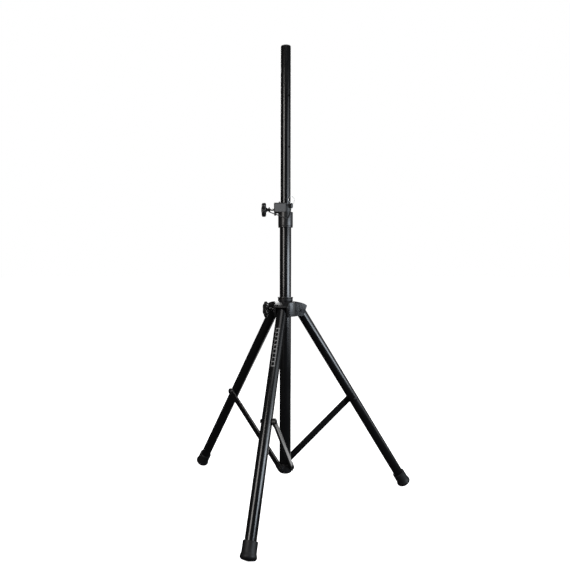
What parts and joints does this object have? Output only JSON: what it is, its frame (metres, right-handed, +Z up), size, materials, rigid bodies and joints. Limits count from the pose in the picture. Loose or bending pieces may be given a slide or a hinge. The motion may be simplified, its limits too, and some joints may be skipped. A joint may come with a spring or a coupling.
{
  "type": "speaker stand",
  "caption": "Folding tripod stand with a telescoping 35 mm pole, clamp collar, safety pin, sliding hub and strutted legs on rubber feet.",
  "frame": {"origin": "middle of the stand's box on the floor, between the feet", "axes": "+Z up along the pole, -Y along the front leg"},
  "size_m": [0.8442, 0.7379, 1.58],
  "materials": {
    "powder_coat": "semi-gloss black powder coat",
    "moulded_nylon": "fine-textured black moulding",
    "black_rubber": "matte",
    "bright_steel": "bright zinc plating",
    "black_steel": "black-plated steel",
    "braided_cord": "black braided polyester"
  },
  "bodies": {
    "column": {"main_tube": "powder_coat", "tube_foot_plug": "moulded_nylon", "bottom_bracket": "black_steel", "strut_bolt_front": "black_steel", "strut_bolt_right": "black_steel", "strut_bolt_left": "black_steel", "clamp_collar": "moulded_nylon", "collar_bush": "moulded_nylon", "collar_shoe": "moulded_nylon", "lanyard": "braided_cord", "lanyard_loop": "braided_cord"},
    "mast": {"upper_tube": "powder_coat", "pole_end_cap": "moulded_nylon", "mast_guide_bush": "moulded_nylon"},
    "collar_knob": {"collar_knob": "moulded_nylon", "collar_knob_screw": "bright_steel"},
    "safety_pin": {"safety_pin": "bright_steel", "pin_head": "moulded_nylon"},
    "pin_ring": {"pin_ring": "bright_steel"},
    "hub": {"hub_body": "moulded_nylon", "hub_bush": "moulded_nylon", "hub_shoe": "moulded_nylon", "leg_bolt_front": "black_steel", "leg_bolt_right": "black_steel", "leg_bolt_left": "black_steel", "leg_nut_front": "black_steel", "leg_nut_right": "black_steel", "leg_nut_left": "black_steel"},
    "hub_knob": {"hub_knob": "moulded_nylon", "hub_knob_screw": "bright_steel"},
    "leg_front": {"leg_tube_front": "powder_coat", "leg_top_plug_front": "moulded_nylon", "rubber_foot_front": "black_rubber", "strut_spacer_front": "moulded_nylon", "leg_joint_bolt_front": "black_steel"},
    "leg_right": {"leg_tube_right": "powder_coat", "leg_top_plug_right": "moulded_nylon", "rubber_foot_right": "black_rubber", "strut_spacer_right": "moulded_nylon", "leg_joint_bolt_right": "black_steel"},
    "leg_left": {"leg_tube_left": "powder_coat", "leg_top_plug_left": "moulded_nylon", "rubber_foot_left": "black_rubber", "strut_spacer_left": "moulded_nylon", "leg_joint_bolt_left": "black_steel"},
    "strut_front": {"strut_tube_front": "powder_coat", "strut_upper_end_front": "moulded_nylon", "strut_lower_end_front": "moulded_nylon", "strut_cap_bolt_front": "black_steel"},
    "strut_right": {"strut_tube_right": "powder_coat", "strut_upper_end_right": "moulded_nylon", "strut_lower_end_right": "moulded_nylon", "strut_cap_bolt_right": "black_steel"},
    "strut_left": {"strut_tube_left": "powder_coat", "strut_upper_end_left": "moulded_nylon", "strut_lower_end_left": "moulded_nylon", "strut_cap_bolt_left": "black_steel"}
  },
  "joints": [
    {"name": "hub_slide", "type": "slide", "parent": "column", "child": "hub", "axis": [0, 0, 1], "range_m": [0, 0.17021]},
    {"name": "leg_front_fold", "type": "hinge", "parent": "hub", "child": "leg_front", "pos_m": [0, 0.0604, 0.663], "axis": [1, 0, 0], "range_deg": [0, 32.2]},
    {"name": "leg_right_fold", "type": "hinge", "parent": "hub", "child": "leg_right", "pos_m": [0.04677, 0.1414, 0.663], "axis": [-0.5, 0.866, 0], "range_deg": [0, 32.2]},
    {"name": "leg_left_fold", "type": "hinge", "parent": "hub", "child": "leg_left", "pos_m": [-0.04677, 0.1414, 0.663], "axis": [-0.5, -0.866, 0], "range_deg": [0, 32.2]},
    {"name": "strut_front_fold", "type": "hinge", "parent": "column", "child": "strut_front", "pos_m": [0.0245, 0.1144, 0.111], "axis": [-1, 0, 0], "range_deg": [0, 39.37]},
    {"name": "strut_right_fold", "type": "hinge", "parent": "column", "child": "strut_right", "pos_m": [-0.01225, 0.13562, 0.111], "axis": [0.5, -0.866, 0], "range_deg": [0, 39.37]},
    {"name": "strut_left_fold", "type": "hinge", "parent": "column", "child": "strut_left", "pos_m": [-0.01225, 0.09318, 0.111], "axis": [0.5, 0.866, 0], "range_deg": [0, 39.37]},
    {"name": "mast_slide", "type": "slide", "parent": "column", "child": "mast", "axis": [0, 0, 1], "range_m": [-0.48, 0.25]},
    {"name": "collar_knob_turn", "type": "hinge", "parent": "column", "child": "collar_knob", "pos_m": [-0.07316, 0.09791, 1.015], "axis": [-0.9755, -0.2198, 0], "continuous": true},
    {"name": "hub_knob_turn", "type": "hinge", "parent": "hub", "child": "hub_knob", "pos_m": [-0.06192, 0.07865, 0.668], "axis": [-0.866, -0.5, 0], "continuous": true},
    {"name": "pin_pull", "type": "slide", "parent": "column", "child": "safety_pin", "axis": [0.8161, -0.5779, 0], "range_m": [0, 0.03]},
    {"name": "pin_ring_swing", "type": "hinge", "parent": "safety_pin", "child": "pin_ring", "pos_m": [0.02448, 0.09706, 1.0325], "axis": [0.5779, 0.8161, 0], "range_deg": [0, 120]}
  ],
  "couplings": [
    {"joint": "leg_front_fold", "follows": "hub_slide", "rad_per_m": 3.3018},
    {"joint": "leg_right_fold", "follows": "hub_slide", "rad_per_m": 3.3018},
    {"joint": "leg_left_fold", "follows": "hub_slide", "rad_per_m": 3.3018},
    {"joint": "strut_front_fold", "follows": "hub_slide", "rad_per_m": 4.0371},
    {"joint": "strut_right_fold", "follows": "hub_slide", "rad_per_m": 4.0371},
    {"joint": "strut_left_fold", "follows": "hub_slide", "rad_per_m": 4.0371}
  ]
}
